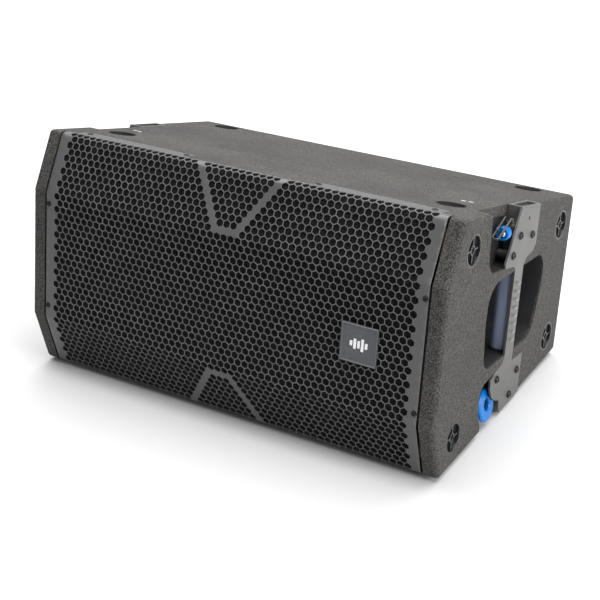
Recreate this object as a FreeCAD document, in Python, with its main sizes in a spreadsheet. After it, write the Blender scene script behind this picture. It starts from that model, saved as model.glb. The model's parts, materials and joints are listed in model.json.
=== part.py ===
"""Wedge shaped two-way line array speaker with built-in rigging, in millimetres.

Every piece is drawn in the cabinet's own frame: X across, Y from the front of the
side walls to the back, Z up from the middle of the height. The cabinet tapers by
`lean` above and below, so each piece then gets the same Placement, which tips the
cabinet until its bottom wall is level and stands it on its feet at Z = 0.
The front faces -Y. "right" is the +X side.
"""
import FreeCAD
import Part
import Sketcher
import math
import os
import re

V = FreeCAD.Vector

SIZES = {
    # cabinet
    "width": 660, "depth": 446, "front_half": 178, "facet_half": 96, "facet_run": 34, "lean": 7.5,
    "cheek": 22, "panel": 15, "edge_round": 7, "reveal": 44, "baffle": 18, "tiny": 0.3,
    # grille and badge
    "grille_half": 304.5, "sheet": 1.5, "bend": 10, "flange_end": 75, "lip_end": 47.5,
    "tab_inner": 100, "tab_outer": 290, "foam": 8, "rail_half": 92, "rail_width": 10,
    "grille_screw_x": 300.5, "grille_screw_z": 78, "flange_screw_y": 60,
    "badge": 54, "badge_x": 215, "badge_z": -5, "badge_thick": 3,
    # cups and feet
    "side_cup": 22.5, "cup_deep": 8,
    "cup_front_y": 69, "cup_front_z": 130, "cup_rear_y": 398.5, "cup_rear_z": 88,
    "top_cup": 21, "top_cup_x": 268, "top_cup_front": 127, "top_cup_rear": 411,
    "foot": 15, "foot_height": 6,
    # woofer
    "woofer_x": -140, "woofer_frame": 157.5, "woofer_cut": 142, "magnet": 88,
    # horn
    "horn_x": 166, "horn_half_w": 128, "horn_half_h": 148, "horn_wall": 4, "throat_y": 196,
    # rear amplifier tray
    "tray_half_w": 175, "tray_half_h": 92, "tray_lip": 14, "tray_deep": 20, "tray_sheet": 2,
    # rigging
    "plate": 3, "channel_front": 228, "channel_rear": 298, "channel_back": 5, "channel_wall": 8, "pin_x": 320,
    "channel_low": 76, "channel_foot": -92, "upper_nose": 264, "lower_nose": 247,
    "upper_pin_z": 122, "lower_pin_z": -128, "pin": 3.5, "pin_fit": 0.06,
    "head_bottom": 74, "neck_front": 227,
    "neck_rear": 258, "grip": 13, "grip_x": 312.6, "grip_y": 247, "handle_deep": 76, "link_thick": 13,
    "link_low": 80, "link_high": 145.5, "link_travel": 34, "ring_x": 322.2, "ring_y": 192, "ring_lean": 9,
    "bolt_head": 5.5, "bolt_rise": 3,
}

doc = FreeCAD.newDocument("line_array_speaker")
sheet = doc.addObject("Spreadsheet::Sheet", "dims")
for row, (alias, amount) in enumerate(SIZES.items(), start=1):
    sheet.set(f"A{row}", alias)
    sheet.set(f"B{row}", str(amount))
    sheet.setAlias(f"B{row}", alias)
doc.recompute()

nodes = []


# ---------------------------------------------------------------- sizes from the sheet
def cells(expression):
    """The expression with each size name written as a reference to its cell."""
    return re.sub(r"[a-z]\w*", lambda word: "dims." + word[0] if word[0] in SIZES else word[0],
                  str(expression))


def amount_of(expression):
    """The number that an expression in size names has now."""
    result = sheet.evalExpression(cells(expression))
    return float(getattr(result, "Value", result))


def bind(item, **sizes):
    """Drives properties of an object from the sheet."""
    for name, expression in sizes.items():
        item.setExpression(name.replace("_at_", "."), cells(expression))
    return item


def neg(expression):
    return f"-({expression})"


def top_z(y, below=0):
    """Height of the sloping top face at depth y, or of a plane that far inside it."""
    return f"(front_half - (({y}) - facet_run) * tan(lean) - ({below}) / cos(lean))"


LEAN = amount_of("lean")


# ---------------------------------------------------------------- ways of making a shape
FACING = {
    # sketch x, sketch y and normal for a prism along each axis
    "X": (V(0, 1, 0), V(0, 0, 1), V(1, 0, 0)),
    "Y": (V(1, 0, 0), V(0, 0, 1), V(0, -1, 0)),
    "Z": (V(1, 0, 0), V(0, 1, 0), V(0, 0, 1)),
}
LATHE = {
    # sketch x is the radius and sketch y runs along the axis
    "X": (V(0, 1, 0), V(1, 0, 0), V(0, 0, -1)),
    "Y": (V(1, 0, 0), V(0, 1, 0), V(0, 0, 1)),
    "Z": (V(1, 0, 0), V(0, 0, 1), V(0, -1, 0)),
}
ALONG = {"X": V(1, 0, 0), "Y": V(0, 1, 0), "Z": V(0, 0, 1)}
TURN_TO = {"X": FreeCAD.Rotation(V(0, 1, 0), 90), "Y": FreeCAD.Rotation(V(1, 0, 0), -90),
           "Z": FreeCAD.Rotation()}


def outline(name, directions, points):
    """A closed sketch whose corners are each held by two sheet-driven distances."""
    sketch = doc.addObject("Sketcher::SketchObject", name)
    sketch.Placement = FreeCAD.Placement(V(0, 0, 0), FreeCAD.Rotation(*directions, "XYZ"))
    spots = [V(amount_of(u), amount_of(v), 0) for u, v in points]
    count = len(points)
    for i in range(count):
        sketch.addGeometry(Part.LineSegment(spots[i], spots[(i + 1) % count]), False)
    for i in range(count):
        sketch.addConstraint(Sketcher.Constraint("Coincident", i, 2, (i + 1) % count, 1))
    for i, (u, v) in enumerate(points):
        for kind, expression in (("DistanceX", u), ("DistanceY", v)):
            held = sketch.addConstraint(Sketcher.Constraint(kind, -1, 1, i, 1, amount_of(expression)))
            sketch.setExpression(f"Constraints[{held}]", cells(expression))
    return sketch


def prism(name, axis, points, low, high, radii=None):
    """An outline pushed along an axis from low to high, with some of its corners rounded."""
    solid = doc.addObject("Part::Extrusion", name)
    solid.Base = outline(name + "_outline", FACING[axis], points)
    solid.DirMode = "Normal"
    solid.Solid = True
    if axis == "Y":
        low, high = neg(high), neg(low)
    bind(solid, LengthFwd=high, LengthRev=neg(low))
    if not radii:
        return solid
    doc.recompute()
    across, up, _ = FACING[axis]
    edges = []
    for number, edge in enumerate(solid.Shape.Edges, start=1):
        start, end = (vertex.Point for vertex in edge.Vertexes)
        if abs(start.dot(across) - end.dot(across)) + abs(start.dot(up) - end.dot(up)) > 1e-6:
            continue
        for (u, v), radius in zip(points, radii):
            near = abs(start.dot(across) - amount_of(u)) + abs(start.dot(up) - amount_of(v)) < 1e-4
            if near and radius:
                edges.append((number, radius, radius))
    rounded = doc.addObject("Part::Fillet", name + "_rounded")
    rounded.Base = solid
    rounded.Edges = edges
    return rounded


def block(name, low, high):
    """A box between two corners."""
    solid = doc.addObject("Part::Box", name)
    for side, (lo, hi) in zip(("Length", "Width", "Height"), zip(low, high)):
        bind(solid, **{side: f"({hi}) - ({lo})"})
    return bind(solid, Placement_at_Base_at_x=low[0], Placement_at_Base_at_y=low[1],
                Placement_at_Base_at_z=low[2])


def rod(name, axis, start, radius, length):
    """A cylinder that starts at a point and runs along an axis."""
    solid = doc.addObject("Part::Cylinder", name)
    solid.Placement = FreeCAD.Placement(V(0, 0, 0), TURN_TO[axis])
    bind(solid, Radius=radius, Height=length)
    return bind(solid, Placement_at_Base_at_x=start[0], Placement_at_Base_at_y=start[1],
                Placement_at_Base_at_z=start[2])


def lathe(name, axis, profile, centre=("0", "0", "0")):
    """A profile of (radius, distance along the axis) points turned about an axis through centre."""
    sketch = outline(name + "_profile", LATHE[axis], profile)
    bind(sketch, Placement_at_Base_at_x=centre[0], Placement_at_Base_at_y=centre[1],
         Placement_at_Base_at_z=centre[2])
    solid = doc.addObject("Part::Revolution", name)
    solid.Source = sketch
    solid.Axis = ALONG[axis]
    solid.Angle = 360
    solid.Solid = True
    return bind(solid, Base_at_x=centre[0], Base_at_y=centre[1], Base_at_z=centre[2])


def cut(name, base, *tools):
    for number, tool in enumerate(tools):
        base_cut = doc.addObject("Part::Cut", f"{name}_{number}")
        base_cut.Base = base
        base_cut.Tool = tool
        base = base_cut
    return base


def fuse(name, *items):
    solid = doc.addObject("Part::MultiFuse", name)
    solid.Shapes = list(items)
    solid.Refine = True
    return solid


def mirrored(name, item):
    """The same piece on the other side of the cabinet."""
    solid = doc.addObject("Part::Mirroring", name)
    solid.Source = item
    solid.Base = V(0, 0, 0)
    solid.Normal = V(1, 0, 0)
    return solid


def both_sides(name, item):
    return [item, mirrored(name + "_left", item)]


def group(name, items):
    """Several like pieces that share one node and stay separate solids."""
    pieces = doc.addObject("Part::Compound", name)
    pieces.Links = list(items)
    return pieces


def copies(name, item, spots):
    """Links to one piece, each at its own (position, rotation)."""
    made = []
    for number, (position, rotation) in enumerate(spots):
        link = doc.addObject("App::Link", f"{name}_{number}")
        link.LinkedObject = item
        link.LinkTransform = True
        link.Placement = FreeCAD.Placement(position, rotation)
        made.append(link)
    return made


def node(label, item):
    """Marks a finished sub-part, named for its file."""
    item.Label = label
    nodes.append(item)
    return item


# Where a fastener or cup sits: its local Z points out of the surface.
OUT_FRONT = FreeCAD.Rotation(V(1, 0, 0), 90)
OUT_BACK = FreeCAD.Rotation(V(1, 0, 0), -90)
OUT_RIGHT = FreeCAD.Rotation(V(0, 1, 0), 90)
OUT_LEFT = FreeCAD.Rotation(V(0, 1, 0), -90)
OUT_TOP = FreeCAD.Rotation(V(1, 0, 0), -LEAN)
OUT_BOTTOM = FreeCAD.Rotation(V(1, 0, 0), 180 + LEAN)


def on_top(x, y, below=0.0):
    return V(x, y, amount_of(top_z(y, below)))


def on_bottom(x, y, below=0.0):
    return V(x, y, -amount_of(top_z(y, below)))


def screw(name, head, rise, shank, length, socket):
    """A fastener with its head's underside at z = 0, a hexagonal socket and a plain shank."""
    body = lathe(name + "_body", "Z", [("0", neg(length)), (shank, neg(length)), (shank, "0"), (head, "0"),
                                       (head, f"({rise}) * 0.45"), (f"({head}) * 0.72", rise), ("0", rise)])
    key = doc.addObject("Part::Prism", name + "_key")
    key.Polygon = 6
    bind(key, Circumradius=socket, Height=f"({rise}) * 2", Placement_at_Base_at_z=f"({rise}) * 0.35")
    return cut(name, body, key)


def pilot_holes(name, shank, length, spots):
    """Cutters for the holes that the shanks of screws sit in."""
    hole = rod(name + "_tool", "Z", ("0", "0", neg(length)), shank, length)
    return group(name, copies(name, hole, spots))


# ---------------------------------------------------------------- places of the fasteners and cups
size = {name: amount_of(name) for name in SIZES}
SIGNS = (-1, 1)

grille_screw_spots = [(V(sx * size["grille_screw_x"], 0, sz * size["grille_screw_z"]), OUT_FRONT)
                      for sx in SIGNS for sz in SIGNS]
for across in (106, 275):
    for sx in SIGNS:
        grille_screw_spots.append((on_top(sx * across, size["flange_screw_y"]), OUT_TOP))
        grille_screw_spots.append((on_bottom(sx * across, size["flange_screw_y"]), OUT_BOTTOM))

top_cup_spots = [(on_top(sx * size["top_cup_x"], y), OUT_TOP)
                 for sx in SIGNS for y in (size["top_cup_front"], size["top_cup_rear"])]
foot_spots = [(on_bottom(sx * size["top_cup_x"], y), OUT_BOTTOM)
              for sx in SIGNS for y in (size["top_cup_front"], size["top_cup_rear"])]
side_cup_spots = [(V(sx * size["width"] / 2, y, sz * z), OUT_RIGHT if sx > 0 else OUT_LEFT)
                  for sx in SIGNS for sz in SIGNS
                  for y, z in ((size["cup_front_y"], size["cup_front_z"]),
                               (size["cup_rear_y"], size["cup_rear_z"]))]
cup_screw_spots = [(spot + turn.multVec(V(0, 0, -5)), turn) for spot, turn in top_cup_spots + side_cup_spots]
foot_screw_spots = [(spot + turn.multVec(V(0, 0, 1)), turn) for spot, turn in foot_spots]


# ---------------------------------------------------------------- cabinet
def rigging_cutters():
    """What is cut through the right side wall for the rigging, the pin pockets and the handle."""
    through = ("width / 2 - cheek - 1", "width / 2 + 1")
    upper = prism("upper_pocket_cut", "X", [
        ("118", "200"), ("121", "150"), ("126", "96"), ("140", "80"), ("190", "head_bottom"),
        ("282", "channel_low"), ("channel_rear", "channel_low + 12"), ("channel_rear", "200")],
        *through, [0, 0, 14, 14, 0, 0, 0, 0])
    lower = prism("lower_pocket_cut", "X", [
        ("channel_rear", "channel_foot"), ("282", "-81"), ("192", "-79"), ("158", "-85"), ("146", "-97"),
        ("150", "-128"), ("162", "-148"), ("158", "-200"), ("channel_rear", "-200")],
        *through, [0, 0, 0, 12, 14, 20, 14, 0, 0])
    seat = prism("plate_seat_cut", "X", plate_outline(), "width / 2 - plate", "width / 2 + 1")
    return [upper, lower, handle_prism("handle_cut", 0, *through), seat]


def handle_prism(name, grow, low, high):
    """The rounded outline of the hand hole, made larger all round by grow."""
    points = [(f"141 - {grow}", f"62 + {grow}"), (f"343 + {grow}", f"62 + {grow}"), (f"343 + {grow}", "8"),
              (f"322 + {grow} / 2", f"-64 - {grow}"), (f"150 - {grow}", f"-64 - {grow}"),
              (f"139 - {grow}", "8")]
    return prism(name, "X", points, low, high, [34, 30, 40, 30, 24, 60])


def plate_outline():
    """Edge of the rigging plate, clockwise from its upper front corner."""
    head = [("channel_front", top_z("channel_front")), ("channel_rear", top_z("channel_rear")),
            ("channel_rear", "85"), ("290", "76"), ("268", "72"), ("neck_rear", "64")]
    foot = [("neck_rear", "-81"), ("channel_rear", "-81"),
            ("channel_rear", neg(top_z("channel_rear"))), ("230", neg(top_z("230"))), ("224", "-131"),
            ("211", "-127"), ("195", "-118"), ("185", "-102"), ("183", "-88"), ("197", "-80"), ("221", "-75")]
    back_up = [("neck_front", "-64"), ("neck_front", "64"), ("221", "69"), ("189", "74"), ("188", "80"),
               ("198", "97"), ("212", "124")]
    return head + foot + back_up


def cabinet():
    outer = prism("cabinet_block", "X", [
        ("0", neg("facet_half")), ("facet_run", neg("front_half")), ("depth", neg(top_z("depth"))),
        ("depth", top_z("depth")), ("facet_run", "front_half"), ("0", "facet_half")],
        "-width / 2", "width / 2")
    doc.recompute()
    rounded = doc.addObject("Part::Fillet", "cabinet_rounded")
    rounded.Base = outer
    radius = size["edge_round"]
    rounded.Edges = [(number, radius, radius) for number in range(1, len(outer.Shape.Edges) + 1)]
    inner_front = top_z("reveal", "panel")
    inner_back = top_z("depth - panel", "panel")
    cavity = prism("cabinet_cavity", "X", [
        ("-5", "-220"), ("reveal", "-220"), ("reveal", neg(inner_front)), ("depth - panel", neg(inner_back)),
        ("depth - panel", inner_back), ("reveal", inner_front), ("reveal", "220"), ("-5", "220")],
        "-(width / 2 - cheek)", "width / 2 - cheek")
    rebates = []
    for sign, side in ((1, "top"), (-1, "bottom")):
        for label, x_low, x_high, back in (("lip", "-(width / 2 - cheek)", "width / 2 - cheek", "lip_end"),
                                           ("tab_left", "-tab_outer - 1", "-tab_inner + 1", "flange_end + 1"),
                                           ("tab_right", "tab_inner - 1", "tab_outer + 1", "flange_end + 1")):
            points = [("reveal - 5", top_z("reveal - 5", "-9")), (back, top_z(back, "-9")),
                      (back, top_z(back, "sheet")), ("reveal - 5", top_z("reveal - 5", "sheet"))]
            if sign < 0:
                points = [(y, neg(z)) for y, z in points]
            rebates.append(prism(f"rebate_{side}_{label}", "X", points, x_low, x_high))
    rear_hole = block("rear_hole",
                      ("-(tray_half_w - tray_lip)", "depth - panel - 1", "-(tray_half_h - tray_lip)"),
                      ("tray_half_w - tray_lip", "depth + 1", "tray_half_h - tray_lip"))
    rear_rebate = block("rear_rebate", ("-tray_half_w", "depth - tray_sheet", "-tray_half_h"),
                        ("tray_half_w", "depth + 1", "tray_half_h"))
    side_tool = rod("side_cup_tool", "Z", ("0", "0", "-cup_deep"), "side_cup", "cup_deep + 1")
    top_tool = rod("top_cup_tool", "Z", ("0", "0", "-cup_deep"), "top_cup", "cup_deep + 1")
    side_sinks = group("side_cup_sinks", copies("side_cup_sink", side_tool, side_cup_spots))
    top_sinks = group("top_cup_sinks", copies("top_cup_sink", top_tool, top_cup_spots))
    rigging = []
    for tool in rigging_cutters():
        rigging += both_sides(tool.Name, tool)
    screw_holes = [pilot_holes("cup_pilots", "2", "7.5", cup_screw_spots),
                   pilot_holes("foot_pilots", "2", "13", foot_screw_spots),
                   pilot_holes("flange_pilots", "1.8", "12", grille_screw_spots[4:]),
                   pilot_holes("tray_pilots", "2", "11", tray_screw_spots)]
    shell = cut("cabinet", rounded, cavity, *rebates, rear_hole, rear_rebate, side_sinks, top_sinks, *rigging,
                *screw_holes)
    inside, outside = "width / 2 - cheek", "width / 2 + 5"
    joint, behind = "depth - panel", "depth + 5"
    panels = {"side_wall_left": ((neg(outside), "-5", "-220"), (neg(inside), behind, "220")),
              "side_wall_right": ((inside, "-5", "-220"), (outside, behind, "220")),
              "top_panel": ((neg(inside), "-5", "0"), (inside, joint, "220")),
              "bottom_panel": ((neg(inside), "-5", "-220"), (inside, joint, "0")),
              "rear_panel": ((neg(inside), joint, "-220"), (inside, behind, "220"))}
    for label, (low, high) in panels.items():
        panel = doc.addObject("Part::Common", label)
        panel.Base = shell
        panel.Tool = block(label + "_region", low, high)
        node(label, panel)


def baffle_board():
    edge = top_z("reveal + baffle", "panel + tiny")
    board = block("baffle_block", ("-(width / 2 - cheek)", "reveal", neg(edge)),
                  ("width / 2 - cheek", "reveal + baffle", edge))
    woofer_hole = rod("woofer_hole", "Y", ("woofer_x", "reveal - 1", "0"), "woofer_cut", "baffle + 2")
    horn_hole = block("horn_hole", ("horn_x - horn_half_w + 8", "reveal - 1", "-horn_half_h + 8"),
                      ("horn_x + horn_half_w - 8", "reveal + baffle + 1", "horn_half_h - 8"))
    port_hole = rod("port_hole", "Y", ("0", "reveal - 1", "0"), "22", "baffle + 2")
    port_holes = group("port_holes", copies("port_hole", port_hole, port_spots))
    holes = pilot_holes("driver_pilots", "2.5", "16", driver_screw_spots)
    return node("front_baffle", cut("baffle", board, woofer_hole, horn_hole, port_holes, holes))


port_spots = [(V(x, 0, sz * 128), FreeCAD.Rotation()) for x in (-276, 1) for sz in SIGNS]
driver_screw_spots = []
for step in range(8):
    angle = math.radians(22.5 + 45 * step)
    driver_screw_spots.append((V(size["woofer_x"] + 150 * math.cos(angle), size["reveal"] - 6,
                                 150 * math.sin(angle)), OUT_FRONT))
for sx in SIGNS:
    for z in (-125, 0, 125):
        driver_screw_spots.append((V(size["horn_x"] + sx * (size["horn_half_w"] - 4), size["reveal"] - 4, z),
                                   OUT_FRONT))


def inner_woodwork():
    edge = top_z("reveal + baffle", "panel + 2 * tiny")
    far_edge = top_z("250", "panel + 2 * tiny")
    board = prism("brace_board", "X", [("reveal + baffle", neg(edge)), ("250", neg(far_edge)),
                                       ("250", far_edge), ("reveal + baffle", edge)], "27", "39")
    window = rod("brace_window", "X", ("20", "165", "0"), "58", "30")
    node("center_brace", cut("brace", board, window))
    rail = block("grille_rail", ("width / 2 - cheek - rail_width", "sheet", "-rail_half"),
                 ("width / 2 - cheek", "reveal", "rail_half"))
    rails = cut("grille_rails", group("rail_pair", both_sides("grille_rail", rail)),
                pilot_holes("rail_pilots", "1.8", "12", grille_screw_spots[:4]))
    node("grille_rails", rails)
    tube = lathe("port_tube", "Y", [("19", "reveal - 2"), ("27", "reveal - 2"),
                                    ("27", "reveal"), ("22", "reveal"),
                                    ("22", "reveal + 70"), ("19", "reveal + 70")])
    node("port_tubes", group("port_tubes", copies("port_tube", tube, port_spots)))


# ---------------------------------------------------------------- grille and badge
def grille_line(inset, end_y):
    """Front edge points of the folded sheet, from the bottom flange to the top one, at a depth inside."""
    turn = "22.5"
    facet_y = f"({inset}) * tan({turn} / 2)"
    corner = "(90 - 22.5 - lean) / 2"
    top_y = f"(facet_run + ({inset}) * cos({turn}) - ({inset}) * tan({corner}) * sin({turn}))"
    return [(end_y, neg(top_z(end_y, inset))), (top_y, neg(top_z(top_y, inset))),
            (inset, f"-(facet_half - {facet_y})"), (inset, f"facet_half - {facet_y}"),
            (top_y, top_z(top_y, inset)), (end_y, top_z(end_y, inset))]


def folded(name, near, far, end_y, half_width, bends):
    """A sheet that follows the front of the cabinet, between two depths behind its face."""
    points = grille_line(near, end_y) + grille_line(far, end_y)[::-1]
    return prism(name, "X", points, neg(half_width), half_width, bends)


def front_cover():
    far_bend = size["bend"] - size["sheet"]
    bends = [0, size["bend"], 0, 0, size["bend"], 0, 0, far_bend, 0, 0, far_bend, 0]
    face = folded("grille_face", "0", "sheet", "lip_end", "grille_half", bends)
    tabs = []
    for sign, side in ((1, "top"), (-1, "bottom")):
        points = [("lip_end - 3", top_z("lip_end - 3")), ("flange_end", top_z("flange_end")),
                  ("flange_end", top_z("flange_end", "sheet")),
                  ("lip_end - 3", top_z("lip_end - 3", "sheet"))]
        if sign < 0:
            points = [(y, neg(z)) for y, z in points]
        tabs += both_sides(f"{side}_tab", prism(f"{side}_tab", "X", points, "tab_inner", "tab_outer"))
    holes = pilot_holes("grille_holes", "1.8", "6", grille_screw_spots)
    node("grille", cut("grille", fuse("grille_sheet", face, *tabs), holes))
    soft_bend = far_bend - 0.2
    pad = folded("foam_pad", "sheet + 0.2", "sheet + foam", "facet_run + 8.5",
                 "width / 2 - cheek - rail_width - 1",
                 [0, soft_bend, 0, 0, soft_bend, 0, 0, 0, 0, 0, 0, 0])
    node("grille_foam", pad)
    master = screw("grille_screw", "4", "1.6", "1.8", "11", "1.6")
    node("grille_screws", group("grille_screws", copies("grille_screw", master, grille_screw_spots)))
    low = ("badge_x - badge / 2", "-badge_thick", "badge_z - badge / 2")
    plate = block("badge_block", low, ("badge_x + badge / 2", "0", "badge_z + badge / 2"))
    tray = block("badge_tray", ("badge_x - badge / 2 + 3", "-badge_thick - 1", "badge_z - badge / 2 + 3"),
                 ("badge_x + badge / 2 - 3", "-badge_thick + 1", "badge_z + badge / 2 - 3"))
    node("badge_plate", cut("badge", plate, tray))
    bars = []
    for step, half_height in enumerate((3.5, 7, 5, 8.5, 4)):
        left = f"badge_x - 13 + {step} * 5.5"
        bars.append(block(f"emblem_bar_{step}", (left, "-badge_thick", f"badge_z - {half_height}"),
                          (left + " + 4", "-badge_thick + 1", f"badge_z + {half_height}")))
    node("badge_emblem", group("emblem_bars", bars))


# ---------------------------------------------------------------- cups, feet and their screws
def cups_and_feet():
    top_cup = lathe("top_cup", "Z", [("0", "-cup_deep"), ("top_cup", "-cup_deep"), ("top_cup", "0"),
                                     ("top_cup - 2", "0"), ("top_cup - 4", "-cup_deep + 3"),
                                     ("0", "-cup_deep + 3")])
    top_cup = cut("top_cup_bored", top_cup, rod("top_cup_hole", "Z", ("0", "0", "-cup_deep - 1"), "2", "6"))
    node("top_cups", group("top_cups", copies("top_cup", top_cup, top_cup_spots)))
    wall = lathe("side_cup_wall", "Z", [("0", "-cup_deep"), ("side_cup", "-cup_deep"), ("side_cup", "0"),
                                        ("side_cup - 3", "0"), ("side_cup - 4", "-cup_deep + 3"),
                                        ("0", "-cup_deep + 3")])
    ribs = [block("cup_rib_a", ("-side_cup + 3", "-1.5", "-cup_deep + 2"), ("side_cup - 3", "1.5", "-2")),
            block("cup_rib_b", ("-1.5", "-side_cup + 3", "-cup_deep + 2"), ("1.5", "side_cup - 3", "-2")),
            rod("cup_boss", "Z", ("0", "0", "-cup_deep + 2"), "7", "cup_deep - 4")]
    well = rod("cup_boss_well", "Z", ("0", "0", "-cup_deep + 3"), "4.6", "cup_deep")
    side_cup = cut("side_cup", fuse("side_cup_ribbed", wall, *ribs), well,
                   rod("side_cup_hole", "Z", ("0", "0", "-cup_deep - 1"), "2", "6"))
    node("side_cups", group("side_cups", copies("side_cup", side_cup, side_cup_spots)))
    foot = lathe("foot", "Z", [("2", "0"), ("foot", "0"), ("foot - 2", "foot_height"), ("6", "foot_height"),
                               ("6", "1"), ("2", "1")])
    node("feet", group("feet", copies("foot", foot, foot_spots)))
    short = screw("cup_screw", "4", "2", "2", "7", "1.7")
    long = screw("foot_screw", "4.5", "2.4", "2", "12", "1.8")
    node("cup_and_foot_screws", group("cup_and_foot_screws", copies("cup_screw", short, cup_screw_spots)
                                      + copies("foot_screw", long, foot_screw_spots)))


# ---------------------------------------------------------------- woofer
def woofer():
    centre = ("woofer_x", "0", "0")
    basket = lathe("basket_shell", "Y", [
        ("woofer_frame", "38"), ("woofer_frame", "reveal"), ("140", "reveal"), ("134", "66"), ("104", "116"),
        ("76", "132"), ("38", "132"), ("38", "128"), ("74", "128"), ("100", "113"), ("129", "64"),
        ("134", "44"),
        ("142", "42"), ("142", "38")], centre)
    windows = []
    for step in range(6):
        slot = doc.addObject("Part::Box", f"basket_window_{step}")
        slot.Length, slot.Width, slot.Height = 70, 42, 46
        turn = FreeCAD.Rotation(V(0, 1, 0), 30 + 60 * step)
        slot.Placement = FreeCAD.Placement(V(size["woofer_x"], 72, 0) + turn.multVec(V(70, 0, -23)), turn)
        windows.append(slot)
    mount_holes = pilot_holes("frame_holes", "2.5", "10", driver_screw_spots[:8])
    node("woofer_basket", cut("basket", basket, group("basket_windows", windows), mount_holes))
    magnet = lathe("magnet", "Y", [
        ("0", "122"), ("30.5", "122"), ("30.5", "140"), ("34.5", "140"), ("34.5", "132"), ("70", "132"),
        ("magnet - 6", "140"), ("magnet", "144"), ("magnet", "168"), ("magnet - 6", "172"), ("70", "180"),
        ("18", "180"), ("18", "176"), ("0", "176")], centre)
    node("woofer_magnet", magnet)
    coil = [("31.5", "94"), ("33.3", "94"), ("33.3", "131"), ("31.5", "131")]
    node("voice_coil", lathe("coil", "Y", coil, centre))
    cone = lathe("cone", "Y", [("33.6", "94"), ("38", "94"), ("118", "52"), ("118", "50"), ("36", "88"),
                               ("33.6", "90")], centre)
    node("woofer_cone", cone)
    cap = lathe("dust_cap", "Y", [("0", "70"), ("22", "74"), ("36", "84"), ("36", "86"), ("22", "76"),
                                  ("0", "72")],
                centre)
    node("woofer_dust_cap", cap)
    surround = lathe("surround", "Y", [("118.4", "50"), ("123", "46"), ("131", "46"), ("135", "41"),
                                       ("141.5", "41"),
                                       ("141.5", "38"), ("134", "38"), ("130", "43"), ("124", "43"),
                                       ("118.4", "47")], centre)
    node("woofer_surround", surround)
    spider = lathe("spider", "Y", [("38.5", "99"), ("101", "99"), ("101", "100.2"), ("38.5", "100.2")],
                   centre)
    node("woofer_spider", spider)


# ---------------------------------------------------------------- horn and compression driver
def horn():
    def section(half_w, half_h, y):
        x = size["horn_x"]
        corners = [V(x - half_w, y, -half_h), V(x + half_w, y, -half_h), V(x + half_w, y, half_h),
                   V(x - half_w, y, half_h)]
        return Part.makePolygon(corners + corners[:1])

    def flare(grow, front, back):
        """Straight sided sections that open quickly at the mouth and stay tall at the throat."""
        steps = [(front, 1.0, 1.0), (100, 0.6, 0.86), (150, 0.3, 0.72), (back, 0.13, 0.62)]
        wires = []
        for y, wide, tall in steps:
            wires.append(section((size["horn_half_w"] - 14) * wide + grow,
                                 (size["horn_half_h"] - 14) * tall + grow, y))
        return Part.makeLoft(wires, True, True)

    front = size["reveal"] - 4
    back = size["throat_y"] - 16
    wall = size["horn_wall"]
    outside = flare(wall, front, back)
    inside = flare(0, front - 1, back + 1)
    flange = Part.makeBox(2 * size["horn_half_w"], 4, 2 * size["horn_half_h"],
                          V(size["horn_x"] - size["horn_half_w"], front, -size["horn_half_h"]))
    neck = Part.makeBox(48, 16, 196, V(size["horn_x"] - 24, back, -98))
    slot = Part.makeBox(20, 30, 160, V(size["horn_x"] - 10, back - 2, -80))
    body = flange.fuse(outside).fuse(neck).cut(inside).cut(slot)
    for spot, turn in driver_screw_spots[8:]:
        body = body.cut(Part.makeCylinder(2.5, 12, spot + V(0, -1, 0), V(0, 1, 0)))
    piece = doc.addObject("Part::Feature", "horn")
    piece.Shape = body.removeSplitter()
    node("horn", piece)
    motors = []
    caps = []
    domes = []
    for number, z in enumerate((-62, 0, 62)):
        centre = ("horn_x", "throat_y", str(z))
        motors.append(lathe(f"driver_motor_{number}", "Y", [
            ("9", "0"), ("30", "0"), ("30", "24"), ("27", "28"), ("25.5", "28"), ("25.5", "20"),
            ("9", "20")], centre))
        caps.append(lathe(f"driver_cap_{number}", "Y", [
            ("0", "40"), ("25", "40"), ("28", "36"), ("28", "28"), ("23", "28"), ("23", "36"),
            ("0", "36")], centre))
        domes.append(lathe(f"driver_dome_{number}", "Y", [
            ("0", "30.5"), ("12", "28"), ("22", "23"), ("22", "22.4"), ("12", "27.2"),
            ("0", "29.7")], centre))
    node("compression_drivers", group("compression_drivers", motors + caps))
    node("hf_diaphragms", group("hf_diaphragms", domes))
    master = screw("driver_screw", "4.5", "3", "2.5", "15", "2.1")
    node("driver_screws", group("driver_screws", copies("driver_screw", master, driver_screw_spots)))


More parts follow.
